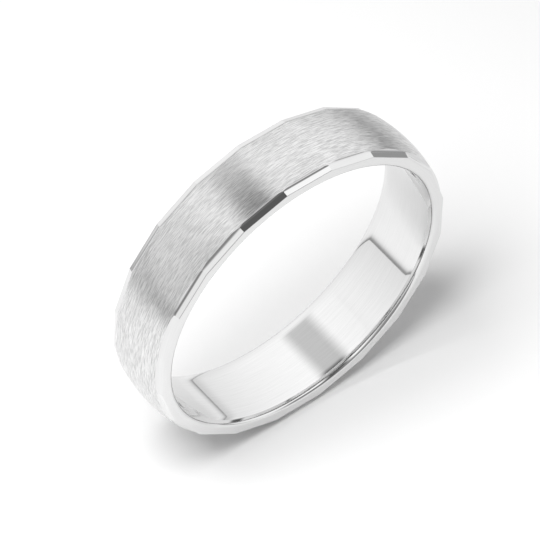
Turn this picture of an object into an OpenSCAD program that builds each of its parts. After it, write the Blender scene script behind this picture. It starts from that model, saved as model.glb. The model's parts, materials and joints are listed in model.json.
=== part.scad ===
// Wedding band with a low brushed dome, twenty bright facets round each edge and an eased bore.
// Millimetres. The band stands on its rim: the bore runs along Y, and the origin is the middle of the bore.

/* [Band] */
// Diameter of the finger hole
finger_d = 20.2; // [14:0.1:26]
// Width of the band, from one side face to the other
band_w = 5; // [3:0.1:8]
// Thickness of the metal at the crown of the dome
crown_t = 1.3; // [1:0.05:2.5]
// Radius of the low dome, measured across the width
dome_r = 9.1; // [6:0.1:30]

/* [Bore edges] */
// Width of the eased strip at each end of the bore
ease_w = 0.7; // [0.3:0.05:1]
// Radius of the arc that eases the strip
ease_r = 2; // [1.2:0.1:6]
// Radius that rounds the lip where the eased strip meets the side face
lip_r = 0.25; // [0.05:0.01:0.4]

/* [Facets] */
// Number of facets round each edge
facet_count = 20; // [12:1:36]
// Turn of the first facet's middle from +X towards +Z, in degrees
facet_turn = -2.2; // [-15:0.1:15]
// Width of a facet at its middle, from the dome's edge to the side face
facet_w = 0.5; // [0.3:0.05:0.9]
// Depth of the facet's floor below the dome's edge
facet_depth = 0.16; // [0.05:0.01:0.25]
// Lean of the facet's floor down towards the side face, in degrees
facet_lean = 13; // [5:1:35]
// Radius of the cutter's nose, left at the foot of the step between floor and dome
nose_r = 0.3; // [0.26:0.02:0.6]

/* [Hidden] */
$fn = 180;
finger_r = finger_d / 2;
half_w = band_w / 2;
crown_r = finger_r + crown_t;
dome_centre_r = crown_r - dome_r;
// Where the dome ends and a facet's step begins, at the middle of a facet
edge_h = half_w - facet_w;
edge_r = dome_centre_r + sqrt(dome_r * dome_r - edge_h * edge_h);
// Centre of the easing arc, which is tangent to the bore
ease_centre_r = finger_r + ease_r;
ease_centre_h = half_w - ease_w;
// Centre of the lip, which is tangent to the easing arc and to the side face
lip_centre_h = half_w - lip_r;
lip_centre_r = ease_centre_r - sqrt(pow(ease_r - lip_r, 2) - pow(lip_centre_h - ease_centre_h, 2));
lip_angle = atan2(lip_centre_h - ease_centre_h, lip_centre_r - ease_centre_r);
// Centre of the cutter's nose when its floor lies facet_depth below the dome's edge
nose_rise = nose_r - facet_depth;
nose_run = sqrt(nose_r * nose_r - nose_rise * nose_rise);
nose_centre_r = edge_r + nose_rise * cos(facet_lean) - nose_run * sin(facet_lean);
nose_centre_h = edge_h + nose_rise * sin(facet_lean) + nose_run * cos(facet_lean);
// How far a cutter reaches past the metal, and how long its straight pass is
cutter_reach = crown_t;
pass_l = 2 * crown_r * tan(180 / facet_count) + facet_w;

// Half of the bore's outline: the straight land, the easing arc and the rounded lip.
// Distance from the bore's axis runs along X and height above the middle plane along Y.
module bore_outline() {
    square([finger_r, half_w + lip_r]);
    difference() {
        polygon([
            [finger_r - lip_r, ease_centre_h],
            [finger_r, ease_centre_h],
            [ease_centre_r + ease_r * cos(lip_angle), ease_centre_h + ease_r * sin(lip_angle)],
            [lip_centre_r, lip_centre_h],
            [lip_centre_r, half_w + lip_r],
            [finger_r - lip_r, half_w + lip_r]
        ]);
        translate([ease_centre_r, ease_centre_h]) circle(ease_r);
        translate([lip_centre_r, lip_centre_h]) circle(lip_r);
    }
}

// The band's cross-section before the facets are cut: side faces, dome and both bore ends
module section() {
    difference() {
        intersection() {
            translate([finger_r - ease_w, -half_w]) square([crown_t + ease_w, band_w]);
            translate([dome_centre_r, 0]) circle(dome_r);
        }
        bore_outline();
        mirror([0, 1]) bore_outline();
    }
}

// Outline of the facet cutter: a flat floor, a round nose and a wall square to the floor
module cutter_outline() {
    translate([nose_centre_r, nose_centre_h]) rotate(facet_lean) {
        circle(nose_r);
        translate([-nose_r, 0]) square([nose_r + cutter_reach, cutter_reach]);
        translate([0, -nose_r]) square([cutter_reach, nose_r + cutter_reach]);
    }
}

// One straight pass of the cutter across the upper edge, at its middle over the X axis
module facet_pass() {
    rotate([90, 0, 0]) linear_extrude(pass_l, center = true) cutter_outline();
}

// The whole band, one piece of metal, with its facets cut into both edges
module band() {
    color("gainsboro") rotate([90, 0, 0]) difference() {
        rotate_extrude() section();
        for (i = [0 : facet_count - 1]) rotate(facet_turn + i * 360 / facet_count) {
            facet_pass();
            mirror([0, 0, 1]) facet_pass();
        }
    }
}

band();
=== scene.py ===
# %% [markdown]
# # A faceted wedding band
# The real object is one piece of white metal: a low dome brushed round the ring, bright flat facets cut
# round both edges, and a polished bore. Here the exact band from the CAD step is the fixed frame. A
# finer skin of the same shape is worked out with numpy and stands for it, and most of the lesson is
# about its four finishes.

# %% Load the frame
import json
import math

import bmesh
import bpy
import numpy as np
from mathutils import Matrix, Vector


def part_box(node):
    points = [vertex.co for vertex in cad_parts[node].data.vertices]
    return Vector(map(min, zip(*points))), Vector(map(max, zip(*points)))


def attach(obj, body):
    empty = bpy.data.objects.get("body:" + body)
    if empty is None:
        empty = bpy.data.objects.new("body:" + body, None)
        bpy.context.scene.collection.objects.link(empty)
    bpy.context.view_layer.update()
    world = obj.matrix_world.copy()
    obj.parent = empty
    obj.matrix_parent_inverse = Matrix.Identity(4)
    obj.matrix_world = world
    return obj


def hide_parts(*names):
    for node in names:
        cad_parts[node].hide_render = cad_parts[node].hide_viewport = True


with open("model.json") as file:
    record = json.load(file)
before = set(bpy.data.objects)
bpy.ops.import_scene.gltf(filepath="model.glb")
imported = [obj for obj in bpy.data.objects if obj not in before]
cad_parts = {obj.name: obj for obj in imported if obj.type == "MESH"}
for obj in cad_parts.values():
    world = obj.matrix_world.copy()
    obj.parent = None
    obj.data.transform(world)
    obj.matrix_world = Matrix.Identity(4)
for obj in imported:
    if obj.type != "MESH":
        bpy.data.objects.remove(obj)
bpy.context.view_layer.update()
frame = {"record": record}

# %% [markdown]
# ## Sizes
# The frame gives the overall size and the record gives the finger bore. What neither of them says, such
# as the shape of the facet cutter, is written once here in millimetres, as the design has it.

# %% Sizes taken from the frame and the record
MM = 0.001
low, high = (np.array(corner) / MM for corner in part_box("band"))
half_w = (high[1] - low[1]) / 2
crown_r = min(high[0], high[2], -low[0], -low[2])
bore = next(m for m in frame["record"]["mounts"] if m["name"] == "finger_bore")
finger_r = bore["dims"]["r_mm"]
ease_w = half_w - bore["dims"]["length_mm"] / 2
print(f"half width {half_w:.3f}, crown radius {crown_r:.3f} mm")
print(f"finger radius {finger_r:.3f}, eased strip {ease_w:.3f} mm")

# %% Sizes of the section and of the facet cutter
DOME_R = 9.1
EASE_R = 2.0
LIP_R = 0.25
FACET_COUNT = 20
FACET_TURN = math.radians(-2.2)
FACET_W = 0.5
FACET_DEPTH = 0.16
FACET_LEAN = math.radians(13)
NOSE_R = 0.3
CORNER_R = 0.05

# %% [markdown]
# ## The cutter's path
# Each facet is one straight pass of a round-nosed cutter across the edge. Seen along the pass, the cut
# is a flat floor and a short round step up to the dome. A point at distance x in front of the ring's
# axis, on a straight pass, lies at radius x / cos(angle from the facet's middle), which is why the
# floor is highest where two facets meet.

# %% Cutter geometry, seen along a pass
dome_centre_r = crown_r - DOME_R


def dome_radius(h):
    """Radius of the dome at height h: its centre's radius plus the root of R squared minus h squared."""
    return dome_centre_r + np.sqrt(DOME_R**2 - h**2)


floor_out = np.array([math.cos(FACET_LEAN), math.sin(FACET_LEAN)])
floor_along = np.array([-math.sin(FACET_LEAN), math.cos(FACET_LEAN)])
edge_h = half_w - FACET_W
nose_rise = NOSE_R - FACET_DEPTH
nose_run = math.sqrt(NOSE_R**2 - nose_rise**2)
nose_centre = np.array([dome_radius(edge_h), edge_h]) + nose_rise * floor_out + nose_run * floor_along
foot = nose_centre - NOSE_R * floor_out
print(f"foot of the step at x {foot[0]:.3f}, height {foot[1]:.3f} mm")


def nose_point(turn):
    """Point on the cutter's nose: its centre less the nose radius, turned from floor towards dome."""
    outward = np.cos(turn)[..., None] * floor_out
    along = np.sin(turn)[..., None] * floor_along
    return nose_centre - NOSE_R * (outward + along)


# %% Where the step meets the dome
HALVINGS = 40


def step_top(cosine):
    """Turn of the nose at which it reaches the dome, for each cosine of the angle from the facet's middle.

    The nose point's distance x, over the cosine, is compared with the dome's radius at the same height.
    The interval that holds the crossing is halved until it is too small to see.
    """
    least = np.zeros_like(cosine)
    most = np.full_like(cosine, math.pi / 2)
    for _ in range(HALVINGS):
        middle = (least + most) / 2
        point = nose_point(middle)
        inside = point[:, 0] / cosine < dome_radius(np.minimum(point[:, 1], half_w))
        least, most = np.where(inside, middle, least), np.where(inside, most, middle)
    return least


def floor_end(cosine):
    """Height at which the floor stops: the foot of the step, or where it first meets the dome."""
    least = np.full_like(cosine, foot[1])
    most = np.full_like(cosine, half_w)
    for _ in range(HALVINGS):
        middle = (least + most) / 2
        floor_x = foot[0] - math.tan(FACET_LEAN) * (middle - foot[1])
        above = floor_x / cosine > dome_radius(middle)
        least, most = np.where(above, middle, least), np.where(above, most, middle)
    return least


# %% [markdown]
# ## One column of the skin
# The skin is a grid. A column is the outline of the metal at one angle round the ring, and all columns
# have the same number of points, so that rows join up into long clean strips. Points crowd together at
# both ends of each strip, because the light on polished metal changes fastest there.

# %% Angles of the columns
STEPS_PER_FACET = 22


def crowd(count):
    """From 0 to 1, crowded at both ends: half of one minus the cosine of equal steps of a half turn."""
    return (1 - np.cos(np.linspace(0, math.pi, count))) / 2


facet_angle = 2 * math.pi / FACET_COUNT
across_facet = (crowd(STEPS_PER_FACET + 1)[:-1] - 0.5) * facet_angle
offsets = np.tile(across_facet, FACET_COUNT)
angles = np.repeat(np.arange(FACET_COUNT), STEPS_PER_FACET) * facet_angle + FACET_TURN + offsets
cosines = np.cos(offsets)
print(len(angles), "columns,", FACET_COUNT, "facets on each edge")

# %% Rows from the middle of the bore to the middle of the crown
ROWS_LAND, ROWS_EASE, ROWS_LIP, ROWS_SIDE = 7, 12, 12, 6
ROWS_CORNER, ROWS_FLOOR, ROWS_STEP, ROWS_DOME = 9, 6, 12, 32
TINY = 1e-6


def strip(radius, height):
    """Rows by columns by (radius, height) as one array; numbers that don't vary are spread out."""
    return np.stack(np.broadcast_arrays(radius, height), axis=-1) + np.zeros((1, len(angles), 1))


ease_centre = np.array([finger_r + EASE_R, half_w - ease_w])
lip_h = half_w - LIP_R
lip_r = ease_centre[0] - math.sqrt((EASE_R - LIP_R) ** 2 - (lip_h - ease_centre[1]) ** 2)
lip_turn = math.atan2(lip_h - ease_centre[1], ease_centre[0] - lip_r)

land_h = np.linspace(0, ease_centre[1], ROWS_LAND)[:, None]
land = strip(finger_r, land_h)
turn = np.linspace(0, lip_turn, ROWS_EASE)[:, None]
ease = strip(ease_centre[0] - EASE_R * np.cos(turn), ease_centre[1] + EASE_R * np.sin(turn))
turn = np.linspace(lip_turn, math.pi / 2, ROWS_LIP)[:, None]
lip = strip(lip_r - LIP_R * np.cos(turn), lip_h + LIP_R * np.sin(turn))

corner_h = half_w - CORNER_R
corner_x = foot[0] - (CORNER_R + math.sin(FACET_LEAN) * (corner_h - foot[1])) / math.cos(FACET_LEAN)
side_r = lip_r + (corner_x / cosines - lip_r) * crowd(ROWS_SIDE)[:, None]
side = strip(side_r, half_w)
turn = np.linspace(math.pi / 2, FACET_LEAN, ROWS_CORNER)[:, None]
corner = strip((corner_x + CORNER_R * np.cos(turn)) / cosines, corner_h + CORNER_R * np.sin(turn))

corner_end_h = corner_h + CORNER_R * math.sin(FACET_LEAN)
floor_h = corner_end_h + (floor_end(cosines) - corner_end_h) * crowd(ROWS_FLOOR)[:, None]
floor = strip((foot[0] - math.tan(FACET_LEAN) * (floor_h - foot[1])) / cosines, floor_h)
turn = step_top(cosines) * np.linspace(0, 1, ROWS_STEP)[:, None]
step = nose_point(turn)
step = strip(step[..., 0] / cosines, step[..., 1])
stepless = floor_end(cosines) > foot[1] + TINY
step[:, stepless] = floor[-1:, stepless]
dome_h = step[-1, :, 1] * (1 - np.linspace(0, 1, ROWS_DOME)[:, None])
dome = strip(dome_radius(dome_h), dome_h)

# %% [markdown]
# ## The closed skin
# The rows so far run from the middle of the bore over the front edge to the middle of the crown. The
# back half is the same outline mirrored and walked the other way, so the two together close into a tube
# of rows. The ring's axis is Y.

# %% Join the strips, front half then back half
FINISHES = ["bore", "bore", "bore", "side", "side", "facet", "facet", "dome"]
half_rows = []
half_finish = []
for rows, finish in zip([land, ease, lip, side, corner, floor, step, dome], FINISHES):
    start = 0 if not half_rows else 1
    half_rows.append(rows[start:])
    half_finish += [finish] * (len(rows) - 1)
front = np.concatenate(half_rows)
back = front[1:-1][::-1] * [1, -1]
outline = np.concatenate([front, back])
row_finish = half_finish + half_finish[::-1]
print(len(outline), "rows of", len(angles), "points")

# %% Grid of points and faces
def ring_points(section, around):
    """Points of a ring about Y: X, Z are radius times the angle's cosine, sine; Y is minus the height."""
    radius = section[..., 0]
    height = section[..., 1]
    return np.stack([radius * np.cos(around), -height, radius * np.sin(around)], axis=-1)


points = ring_points(outline, angles) * MM
rows_n, columns_n = points.shape[:2]
row, column = np.meshgrid(np.arange(rows_n), np.arange(columns_n), indexing="ij")
next_row = (row + 1) % rows_n
next_column = (column + 1) % columns_n
corners = [(row, column), (next_row, column), (next_row, next_column), (row, next_column)]
quads = np.stack([r * columns_n + c for r, c in corners], axis=-1).reshape(-1, 4)

skin = bpy.data.meshes.new("band_skin")
skin.from_pydata(points.reshape(-1, 3), [], quads)
print(len(quads), "faces")

# %% [markdown]
# A brushed finish needs to know which way the brush ran. The skin therefore carries a flat map of
# itself: one number is the distance round the ring and the other is the distance across the outline,
# both in millimetres.

# %% A map that follows the brushing
step_length = np.linalg.norm(np.diff(outline, axis=0, append=outline[:1]), axis=-1)
along_column = np.concatenate([np.zeros((1, columns_n)), np.cumsum(step_length, axis=0)])
across = along_column - along_column[len(front) - 1]
across = np.concatenate([across, across[:, :1]], axis=1)
around = np.append(angles, angles[0] + 2 * math.pi) * crown_r
map_corners = [(row, column), (row + 1, column), (row + 1, column + 1), (row, column + 1)]
flat_map = np.stack([np.stack([around[c], across[r, c]], axis=-1) for r, c in map_corners], axis=2)
skin.uv_layers.new(name="brushing").data.foreach_set("uv", flat_map.ravel())

# %% Smooth inside a strip, crisp where strips meet at an angle
CRISP = math.radians(12)
SAME_POINT = 1e-8
finish_names = ["dome", "facet", "side", "bore"]
finish_index = np.array([finish_names.index(name) for name in row_finish], dtype=np.int32)
skin.polygons.foreach_set("material_index", np.repeat(finish_index, columns_n))
skin.polygons.foreach_set("use_smooth", np.ones(len(quads), dtype=bool))

work = bmesh.new()
work.from_mesh(skin)
bmesh.ops.remove_doubles(work, verts=work.verts, dist=SAME_POINT)
bmesh.ops.recalc_face_normals(work, faces=work.faces)
open_edges = sum(not e.is_manifold for e in work.edges)
work.to_mesh(skin)
print("edges that don't close:", open_edges, "volume mm3:", round(work.calc_volume() / MM**3, 1))
work.free()
skin.set_sharp_from_angle(angle=CRISP)

# %% Hang the skin on the frame
band = bpy.data.objects.new("band_skin", skin)
bpy.context.scene.collection.objects.link(band)
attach(band, "root")
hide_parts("band")

# %% [markdown]
# ## Finishes
# All four finishes are the same white metal, worked in different ways. A brush or a polishing wheel
# leaves fine lines, so one node group draws lines and each finish gives it its own length, width and
# direction. The lines are noise squeezed across and stretched round the ring, and they wander slightly,
# as strokes of a hand-held brush do.

# %% A node group that draws fine lines round the ring
def node(tree, kind, inputs=(), **settings):
    """Adds a node, then fills its inputs in turn: sockets are linked and numbers are put in."""
    made = tree.nodes.new(kind)
    for name, value in settings.items():
        setattr(made, name, value)
    for socket, value in zip(made.inputs, inputs):
        if isinstance(value, bpy.types.NodeSocket):
            tree.links.new(value, socket)
        elif value is not None:
            socket.default_value = value
    return made


def maths(tree, operation, *values):
    """One Math node; gives back its output."""
    return node(tree, "ShaderNodeMath", values, operation=operation).outputs[0]


WANDER_SCALE = 400.0
LINE_DETAIL = 2.0
LINE_ROUGHNESS = 0.6


def drawn_lines_group():
    """Noise at (x over length, z over length, across over width), with across nudged by slow noise."""
    group = bpy.data.node_groups.new("drawn_lines", "ShaderNodeTree")
    group.interface.new_socket("Place", in_out="INPUT", socket_type="NodeSocketVector")
    for name in ["Across", "Length", "Width", "Wander", "Seed"]:
        group.interface.new_socket(name, in_out="INPUT", socket_type="NodeSocketFloat")
    group.interface.new_socket("Lines", in_out="OUTPUT", socket_type="NodeSocketFloat")
    given = group.nodes.new("NodeGroupInput").outputs
    place = node(group, "ShaderNodeSeparateXYZ", [given["Place"]]).outputs
    slow_inputs = [given["Place"], None, None, WANDER_SCALE]
    slow = node(group, "ShaderNodeVectorMath", slow_inputs, operation="SCALE")
    sway_inputs = [slow.outputs[0], given["Seed"], 1.0, 1.0]
    sway = node(group, "ShaderNodeTexNoise", sway_inputs, noise_dimensions="4D")
    nudge = maths(group, "MULTIPLY", maths(group, "SUBTRACT", sway.outputs[0], 0.5), given["Wander"])
    x = maths(group, "DIVIDE", place["X"], given["Length"])
    z = maths(group, "DIVIDE", place["Z"], given["Length"])
    y = maths(group, "DIVIDE", maths(group, "ADD", given["Across"], nudge), given["Width"])
    stretched = node(group, "ShaderNodeCombineXYZ", [x, y, z]).outputs[0]
    line_inputs = [stretched, given["Seed"], 1.0, LINE_DETAIL, LINE_ROUGHNESS]
    lines = node(group, "ShaderNodeTexNoise", line_inputs, noise_dimensions="4D")
    result = group.nodes.new("NodeGroupOutput")
    group.links.new(lines.outputs[0], result.inputs["Lines"])
    return group


drawn_lines = drawn_lines_group()
sockets = drawn_lines.interface.items_tree
print("line group inputs:", [item.name for item in sockets if item.in_out == "INPUT"])

# %% Helpers that start a metal and put lines into it
METAL_LEVEL = 0.72
METAL = (METAL_LEVEL, METAL_LEVEL, METAL_LEVEL, 1)


def start_metal(name, roughness):
    """A plain white metal. Whatever is the same all over is set on the shader's own sockets."""
    material = bpy.data.materials.new(name)
    material.use_nodes = True
    shader = material.node_tree.nodes["Principled BSDF"]
    shader.inputs["Base Color"].default_value = METAL
    shader.inputs["Metallic"].default_value = 1
    shader.inputs["Roughness"].default_value = roughness
    return material, shader


def lines_in(tree, across, length, width, wander, seed):
    """Places the line group in a material and gives back its output. Lengths and widths are in metres."""
    coordinates = node(tree, "ShaderNodeTexCoord").outputs
    if across == "axis":
        height = node(tree, "ShaderNodeSeparateXYZ", [coordinates["Object"]]).outputs["Y"]
    else:
        flat = node(tree, "ShaderNodeUVMap", uv_map="brushing").outputs[0]
        height = maths(tree, "MULTIPLY", node(tree, "ShaderNodeSeparateXYZ", [flat]).outputs["Y"], MM)
    values = [coordinates["Object"], height, length, width, wander, seed]
    return node(tree, "ShaderNodeGroup", values, node_tree=drawn_lines).outputs["Lines"]


def spread(tree, value, low_out, high_out, low_in=0.3, high_in=0.7):
    """Map Range: turns a value between low_in and high_in into one between low_out and high_out."""
    return node(tree, "ShaderNodeMapRange", [value, low_in, high_in, low_out, high_out]).outputs[0]


# %% [markdown]
# The dome was brushed round the ring, so each scratch runs round it and spreads light across it. Two
# things show that: fine light and dark lines, and a highlight drawn out across the band. The lines come
# from the group above. The drawn out highlight is the shader's Anisotropic setting, with the tangent
# taken from the map made with the skin. The grooves are far shallower than a hair, so they are a bump
# and not geometry.

# %% Brushed dome
BRUSHED_ROUGHNESS = 0.4
LONG_LINE = 1.0 * MM
LONG_LINE_WIDTH = 0.035 * MM
LONG_LINE_WANDER = 0.02 * MM
SHORT_LINE = 0.6 * MM
SHORT_LINE_WIDTH = 0.045 * MM
SHORT_LINE_WANDER = 0.04 * MM
GROOVE_STRENGTH = 0.25
GROOVE_DEPTH = 0.004 * MM
DRAWN_OUT = 0.95
QUARTER_TURN = 0.25


def brushed_dome():
    """Metal whose level, roughness and bump follow the mean of a long and a short layer of lines."""
    material, shader = start_metal("brushed_dome", BRUSHED_ROUGHNESS)
    tree = material.node_tree
    long_lines = lines_in(tree, "axis", LONG_LINE, LONG_LINE_WIDTH, LONG_LINE_WANDER, 1.0)
    short_lines = lines_in(tree, "axis", SHORT_LINE, SHORT_LINE_WIDTH, SHORT_LINE_WANDER, 7.0)
    both = maths(tree, "MULTIPLY", maths(tree, "ADD", long_lines, short_lines), 0.5)
    level = spread(tree, both, low_out=0.50, high_out=0.88, low_in=0.42, high_in=0.58)
    tree.links.new(level, shader.inputs["Base Color"])
    roughness = spread(tree, both, low_out=0.30, high_out=0.40, low_in=0.40, high_in=0.60)
    tree.links.new(roughness, shader.inputs["Roughness"])
    bump = node(tree, "ShaderNodeBump")
    bump.inputs["Strength"].default_value = GROOVE_STRENGTH
    bump.inputs["Distance"].default_value = GROOVE_DEPTH
    tree.links.new(both, bump.inputs["Height"])
    tree.links.new(bump.outputs[0], shader.inputs["Normal"])
    shader.inputs["Anisotropic"].default_value = DRAWN_OUT
    shader.inputs["Anisotropic Rotation"].default_value = QUARTER_TURN
    tangent = node(tree, "ShaderNodeTangent", direction_type="UV_MAP", uv_map="brushing")
    tree.links.new(tangent.outputs[0], shader.inputs["Tangent"])
    return material


# %% [markdown]
# The facets, side faces and bore are bright. A wheel still leaves faint lines, so each gets the same
# line group with its own width, and only slight changes in level and roughness. The facets and the bore
# mirror the most clearly, and the side faces are a little softer.

# %% Polished surfaces
WHEEL_LINE = 2.5 * MM
WHEEL_WANDER = 0.1 * MM
LEVEL_CHANGE = 0.02
ROUGHNESS_CHANGE = 0.3


def polished(name, across, roughness, width, seed):
    """Bright metal whose level and roughness change slightly along faint lines of the given width."""
    material, shader = start_metal(name, roughness)
    tree = material.node_tree
    lines = lines_in(tree, across, WHEEL_LINE, width, WHEEL_WANDER, seed)
    level = spread(tree, lines, METAL_LEVEL - LEVEL_CHANGE, METAL_LEVEL + LEVEL_CHANGE)
    tree.links.new(level, shader.inputs["Base Color"])
    least = roughness * (1 - ROUGHNESS_CHANGE)
    most = roughness * (1 + ROUGHNESS_CHANGE)
    tree.links.new(spread(tree, lines, least, most), shader.inputs["Roughness"])
    return material


# %% The four finishes, in the order of the skin's material numbers
skin.materials.append(brushed_dome())
skin.materials.append(polished("bright_cut_facet", "outline", roughness=0.05, width=0.05 * MM, seed=11.0))
skin.materials.append(polished("polished_side", "outline", roughness=0.12, width=0.06 * MM, seed=12.0))
skin.materials.append(polished("polished_bore", "axis", roughness=0.05, width=0.08 * MM, seed=13.0))
print("finishes:", [material.name for material in skin.materials])

# %% [markdown]
# ## Light
# Polished metal shows its surroundings, so the surroundings are what is lit. Jewellery is usually set
# in a white tent under soft lights, with a few dark cards that give the bright metal its edges. The
# tent here is one soft gradient in the world, brighter overhead than at the horizon. Each card is a
# soft-edged rectangle seen from the middle of the scene: the gap between two lights overhead, the dark
# side of the room in front, and two small cards at the right. The cards stand still in the studio, so
# they stay where they are when the camera moves.

# %% Directions in the studio
def towards(around, height):
    """Unit vector towards a compass angle from +X to +Y and an angle above the floor, both in degrees."""
    a = math.radians(around)
    e = math.radians(height)
    return np.array([math.cos(a) * math.cos(e), math.sin(a) * math.cos(e), math.sin(e)])


# %% A dark card
def card(tree, look, light, centre, long_way, half_long, half_wide, edge, kept):
    """Darkens the light behind a soft-edged rectangle and keeps only the part 'kept' of it.

    A direction is inside the card if its parts along the card's two sides, each over the sine of the card's
    half angle, are both less than one.
    """
    along = np.array(long_way) - centre * np.dot(long_way, centre)
    along = along / np.linalg.norm(along)
    side_way = np.cross(centre, along)
    inside = None
    for axis, half_angle in [(along, half_long), (side_way, half_wide)]:
        scaled = tuple(axis / math.sin(math.radians(half_angle)))
        part = node(tree, "ShaderNodeVectorMath", [look, scaled], operation="DOT_PRODUCT").outputs["Value"]
        part = maths(tree, "ABSOLUTE", part)
        limits = [part, 1 - edge, 1 + edge, 1.0, 0.0]
        part = node(tree, "ShaderNodeMapRange", limits, interpolation_type="SMOOTHSTEP").outputs[0]
        inside = part if inside is None else maths(tree, "MULTIPLY", inside, part)
    ahead = [look, tuple(centre)]
    facing = node(tree, "ShaderNodeVectorMath", ahead, operation="DOT_PRODUCT").outputs["Value"]
    inside = maths(tree, "MULTIPLY", inside, maths(tree, "GREATER_THAN", facing, 0.0))
    return maths(tree, "MULTIPLY", light, spread(tree, inside, 1.0, kept, 0.0, 1.0))


# %% The tent and its cards
TENT_LOW = 1.0
TENT_HIGH = 1.35
UPRIGHT = (0, 0, 1)
FRONT_TO_BACK = (0, 1, 0)
# Centre, long side, half angles along and across in degrees, softness of edge, part of the light kept
GAP_OVERHEAD = (towards(225, 80), FRONT_TO_BACK, 35, 10, 0.5, 0.1)
DARK_ROOM_IN_FRONT = (towards(235, 5), UPRIGHT, 40, 40, 0.3, 0.3)
CARD_AT_RIGHT = (towards(290, 40), UPRIGHT, 20, 20, 0.4, 0.25)
LOW_CARD_AT_RIGHT = (towards(355, -5), UPRIGHT, 10, 30, 0.5, 0.5)


def tent_light(tree, look):
    """Level = a straight ramp on the height, from horizon to overhead, darkened by each card."""
    height = node(tree, "ShaderNodeSeparateXYZ", [look]).outputs["Z"]
    light = spread(tree, height, TENT_LOW, TENT_HIGH, 0.0, 1.0)
    for placed in [GAP_OVERHEAD, DARK_ROOM_IN_FRONT, CARD_AT_RIGHT, LOW_CARD_AT_RIGHT]:
        light = card(tree, look, light, *placed)
    return light


# %% [markdown]
# ## Floor
# The ring stands on its rim on a plain pale table, which catches a soft shadow. The table is far wider
# than the ring, so that its edge doesn't show in the metal. It has no gloss of its own.

# %% Floor
FLOOR_SIZE = 3.0
FLOOR_COLOUR = (0.92, 0.92, 0.92, 1)
table_mesh = bpy.data.meshes.new("studio_floor")
half = FLOOR_SIZE / 2
table_z = -crown_r * MM
table_corners = [(x * half, y * half, table_z) for x, y in [(-1, -1), (1, -1), (1, 1), (-1, 1)]]
table_mesh.from_pydata(table_corners, [], [(0, 1, 2, 3)])
table = bpy.data.objects.new("studio_floor", table_mesh)
bpy.context.scene.collection.objects.link(table)
floor_material = bpy.data.materials.new("studio_floor")
floor_material.use_nodes = True
tree = floor_material.node_tree
shader = tree.nodes["Principled BSDF"]
shader.inputs["Roughness"].default_value = 1.0
shader.inputs["Specular IOR Level"].default_value = 0.0
shader.inputs["Base Color"].default_value = FLOOR_COLOUR
table_mesh.materials.append(floor_material)
print("table top at", round(table_z / MM, 3), "mm")

# %% [markdown]
# ## Camera
# The camera looks down on the ring from the front and the left, from far away with a long lens, as is
# usual for jewellery, because a near camera would make the front of the ring look too large. Two unit
# vectors, right and up, make the picture's sides, and the camera is moved a little along them to set
# the ring in the frame.

# %% Camera
FACING = math.radians(-37.9)
HEIGHT = math.radians(51.9)
DISTANCE_IN_FINGER_RADII = 60.017
DISTANCE = DISTANCE_IN_FINGER_RADII * finger_r * MM
LENS = 655.0
SENSOR_WIDTH = 36
FARTHEST_SEEN = 10
flat_way = np.array([math.sin(FACING), -math.cos(FACING), 0]) * math.cos(HEIGHT)
back_to_camera = flat_way + [0, 0, math.sin(HEIGHT)]
right = np.array([math.cos(FACING), math.sin(FACING), 0])
up = np.cross(back_to_camera, right)
ASIDE = 0.552 * MM
RAISED = 0.105 * MM
camera_data = bpy.data.cameras.new("camera")
camera_data.lens = LENS
camera_data.sensor_width = SENSOR_WIDTH
camera_data.clip_end = FARTHEST_SEEN
camera = bpy.data.objects.new("camera", camera_data)
place = DISTANCE * back_to_camera - ASIDE * right + RAISED * up
turned = np.eye(4)
turned[:3] = np.stack([right, up, back_to_camera, place], axis=1)
camera.matrix_world = Matrix(turned.tolist())
bpy.context.scene.collection.objects.link(camera)
bpy.context.scene.camera = camera
print("camera stands at", np.round(place, 3), "metres")

# %% [markdown]
# ## World
# The metal mirrors the tent. The floor gets a weaker, even fill instead, as if the table stood partly
# in its own shade, so that the ring's shadow stays visible. The kind of ray picks between the two.

# %% World
scene = bpy.context.scene
scene.view_settings.view_transform = "Standard"
world = bpy.data.worlds.new("studio")
scene.world = world
world.use_nodes = True
tree = world.node_tree
background = tree.nodes["Background"]
look = node(tree, "ShaderNodeTexCoord").outputs["Generated"]
light = tent_light(tree, look)
glossy = node(tree, "ShaderNodeLightPath").outputs["Is Glossy Ray"]
FILL = 0.4
fill_or_tent = node(tree, "ShaderNodeMix", data_type="FLOAT")
tree.links.new(glossy, fill_or_tent.inputs[0])
fill_or_tent.inputs[2].default_value = FILL
tree.links.new(light, fill_or_tent.inputs[3])
tree.links.new(fill_or_tent.outputs[0], background.inputs["Color"])
print("tent and cards:", len(tree.nodes), "nodes")

# %% [markdown]
# One softbox hangs over the table, a little to the left, so the shadow falls to the right. It is close,
# as on a jeweller's table, so the floor is brightest round the ring and falls off further out. It is
# kept out of the metal's reflections, where the tent already stands for everything overhead.

# %% Softbox
SOFTBOX_WIDTH = 80 * MM
SOFTBOX_DISTANCE = 120 * MM
SOFTBOX_WATTS = 0.17
softbox_way = np.array([-0.35, 0.0, 0.94])
softbox_way = softbox_way / np.linalg.norm(softbox_way)
softbox_data = bpy.data.lights.new("softbox", "AREA")
softbox_data.energy = SOFTBOX_WATTS
softbox_data.size = SOFTBOX_WIDTH
softbox = bpy.data.objects.new("softbox", softbox_data)
softbox.location = SOFTBOX_DISTANCE * softbox_way
softbox.rotation_euler = Vector(softbox_way).to_track_quat("Z", "Y").to_euler()
softbox.visible_glossy = False
scene.collection.objects.link(softbox)
print("softbox hangs at", np.round(SOFTBOX_DISTANCE * softbox_way / MM, 1), "mm")
